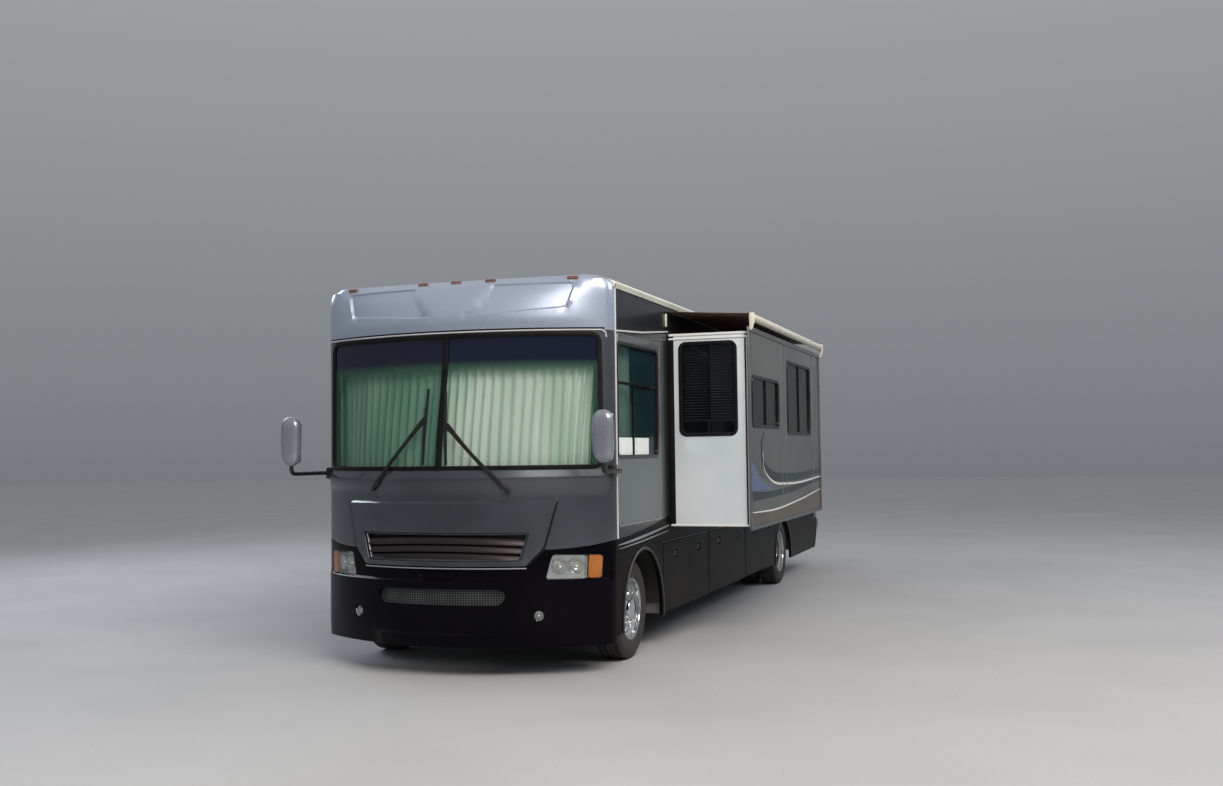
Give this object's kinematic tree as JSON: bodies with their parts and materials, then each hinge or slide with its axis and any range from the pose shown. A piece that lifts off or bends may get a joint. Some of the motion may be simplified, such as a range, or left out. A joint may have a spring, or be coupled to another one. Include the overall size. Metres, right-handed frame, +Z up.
{
  "type": "motorhome",
  "caption": "Large bus-style motorhome with a bowed front, big windscreen, an extended slide-out room, opening doors, steering and rolling wheels.",
  "frame": {"origin": "on the ground at the centre of the bounding box, the wheels standing on Z = 0", "axes": "+Y to the rear along the length, the nose faces -Y; +X to the driver's side, where the slide-out room is; +Z up"},
  "size_m": [3.523, 10.1002, 3.43],
  "materials": {
    "cap_paint": "charcoal metallic fibreglass gelcoat",
    "side_paint": "glossy grey metallic side wall",
    "slide_paint": "silver glossy slide wall",
    "black_gloss": "gloss black moulded bumper and skirts",
    "roof_skin": "light rubber roof membrane",
    "glass": "tinted safety glass",
    "trim_black": "black window frame",
    "trim_light": "light aluminium extrusion",
    "grille_metal": "dark brushed grille",
    "lamp": "clear lamp lens",
    "tail_lamp": "red lamp lens",
    "chassis_paint": "black chassis paint",
    "bare_steel": "plain steel",
    "tyre": "tyre rubber",
    "chrome": "bright wheel",
    "mirror_grey": "grey mirror housing",
    "white_plastic": "white roof unit",
    "interior": "interior trim",
    "seat_leather": "seat cover",
    "curtain_cloth": "pale curtain",
    "topper_cloth": "brown awning fabric",
    "floor_board": "floor"
  },
  "bodies": {
    "coach": {"front_cap": "cap_paint", "front_bumper": "black_gloss", "windscreen": "glass", "grilles": "grille_metal", "front_lamps": "lamp", "floor": "floor_board", "left_wall": "side_paint", "right_wall": "side_paint", "roof": "roof_skin", "rear_cap": "cap_paint", "rear_bumper": "black_gloss", "tail_lights": "tail_lamp", "skirts": "black_gloss", "storage_bays": "chassis_paint", "wheel_wells": "chassis_paint", "entry_steps": "chassis_paint", "window_frames": "trim_black", "window_panes": "glass", "topper_fabric": "topper_cloth", "chassis_frame": "chassis_paint", "engine": "chassis_paint", "driveshaft": "bare_steel", "fuel_tank": "bare_steel", "exhaust": "bare_steel", "front_axle": "chassis_paint", "rear_axle": "chassis_paint", "leaf_springs": "chassis_paint", "mirrors": "mirror_grey", "wipers": "trim_black", "roof_units": "white_plastic", "patio_awning": "trim_light", "ladder": "trim_light", "dash": "interior", "cab_seats": "seat_leather", "curtains": "curtain_cloth"},
    "slide_out": {"slide_room": "slide_paint", "slide_window_frames": "trim_black", "slide_window_panes": "glass", "topper_roller": "trim_light"},
    "entry": {"entry_door": "side_paint", "entry_door_glass": "glass"},
    "helm": {"steering_wheel": "interior"},
    "left_steer": {"left_knuckle": "chassis_paint"},
    "right_steer": {"right_knuckle": "chassis_paint"},
    "left_front_wheel": {"left_front_tyre": "tyre", "left_front_rim": "chrome"},
    "right_front_wheel": {"right_front_tyre": "tyre", "right_front_rim": "chrome"},
    "left_rear_wheels": {"left_rear_tyres": "tyre", "left_rear_rims": "chrome"},
    "right_rear_wheels": {"right_rear_tyres": "tyre", "right_rear_rims": "chrome"},
    "left_bay_door_1": {"left_bay_door_1": "black_gloss"},
    "left_bay_door_2": {"left_bay_door_2": "black_gloss"},
    "left_bay_door_3": {"left_bay_door_3": "black_gloss"},
    "right_bay_door_1": {"right_bay_door_1": "black_gloss"},
    "right_bay_door_2": {"right_bay_door_2": "black_gloss"},
    "right_bay_door_3": {"right_bay_door_3": "black_gloss"}
  },
  "joints": [
    {"name": "left_steer", "type": "hinge", "parent": "coach", "child": "left_steer", "pos_m": [0.5355, -3.75391, 0.385], "axis": [0, 0, 1], "range_deg": [-32, 32]},
    {"name": "right_steer", "type": "hinge", "parent": "coach", "child": "right_steer", "pos_m": [-1.1845, -3.75391, 0.385], "axis": [0, 0, 1], "range_deg": [-32, 32]},
    {"name": "helm_turn", "type": "hinge", "parent": "coach", "child": "helm", "pos_m": [0.2955, -4.34391, 1.56], "axis": [0, 0.8192, 0.5736], "range_deg": [-450, 450]},
    {"name": "left_front_spin", "type": "hinge", "parent": "left_steer", "child": "left_front_wheel", "pos_m": [0.7275, -3.75391, 0.415], "axis": [1, 0, 0], "continuous": true},
    {"name": "right_front_spin", "type": "hinge", "parent": "right_steer", "child": "right_front_wheel", "pos_m": [-1.3765, -3.75391, 0.415], "axis": [1, 0, 0], "continuous": true},
    {"name": "left_rear_spin", "type": "hinge", "parent": "coach", "child": "left_rear_wheels", "pos_m": [0.6505, 2.24609, 0.415], "axis": [1, 0, 0], "continuous": true},
    {"name": "right_rear_spin", "type": "hinge", "parent": "coach", "child": "right_rear_wheels", "pos_m": [-1.2995, 2.24609, 0.415], "axis": [1, 0, 0], "continuous": true},
    {"name": "slide_out_travel", "type": "slide", "parent": "coach", "child": "slide_out", "axis": [-1, 0, 0], "range_m": [0, 0.73], "deforming": ["topper_fabric"]},
    {"name": "entry_door_swing", "type": "hinge", "parent": "coach", "child": "entry", "pos_m": [-1.6045, -3.07091, 1.6], "axis": [0, 0, 1], "range_deg": [0, 95]},
    {"name": "left_bay_door_1_lift", "type": "hinge", "parent": "coach", "child": "left_bay_door_1", "pos_m": [0.9555, -2.38891, 0.927], "axis": [0, -1, 0], "range_deg": [0, 80]},
    {"name": "left_bay_door_2_lift", "type": "hinge", "parent": "coach", "child": "left_bay_door_2", "pos_m": [0.9555, -0.77391, 0.927], "axis": [0, -1, 0], "range_deg": [0, 80]},
    {"name": "left_bay_door_3_lift", "type": "hinge", "parent": "coach", "child": "left_bay_door_3", "pos_m": [0.9555, 0.87109, 0.927], "axis": [0, -1, 0], "range_deg": [0, 80]},
    {"name": "right_bay_door_1_lift", "type": "hinge", "parent": "coach", "child": "right_bay_door_1", "pos_m": [-1.6045, -1.65391, 0.927], "axis": [0, 1, 0], "range_deg": [0, 80]},
    {"name": "right_bay_door_2_lift", "type": "hinge", "parent": "coach", "child": "right_bay_door_2", "pos_m": [-1.6045, -0.32391, 0.927], "axis": [0, 1, 0], "range_deg": [0, 80]},
    {"name": "right_bay_door_3_lift", "type": "hinge", "parent": "coach", "child": "right_bay_door_3", "pos_m": [-1.6045, 1.02109, 0.927], "axis": [0, 1, 0], "range_deg": [0, 80]}
  ],
  "couplings": [
    {"joint": "right_steer", "follows": "left_steer", "ratio": 1},
    {"joint": "helm_turn", "follows": "left_steer", "ratio": 14}
  ]
}
